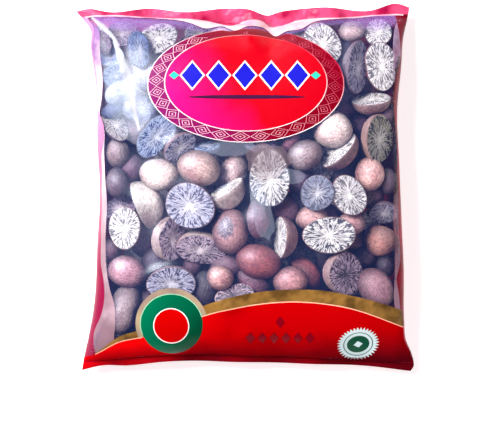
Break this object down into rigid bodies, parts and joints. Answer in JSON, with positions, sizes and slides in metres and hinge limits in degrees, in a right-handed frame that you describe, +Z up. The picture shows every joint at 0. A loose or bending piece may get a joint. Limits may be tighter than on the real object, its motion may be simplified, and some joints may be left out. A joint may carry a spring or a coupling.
{
  "type": "bag of halved betel nuts",
  "caption": "Clear-fronted pillow bag of halved betel nuts, sealed flat at its top and bottom, lying on its back.",
  "frame": {"origin": "on the table under the middle of the bag, at the bottom centre of its box", "axes": "+Z up out of the clear front, +Y along the bag towards its top seal, +X across it to the right as the front is seen"},
  "size_m": [0.191, 0.2074, 0.0464],
  "materials": {
    "clear_film": "clear glossy film over brown nuts",
    "printed_film": "film printed red and pink, glossy",
    "betel_nut": "dried areca nut, matt veined brown skin and an ivory cut face with dark rays"
  },
  "bodies": {
    "root": {"bag": "clear_film"}
  },
  "joints": []
}
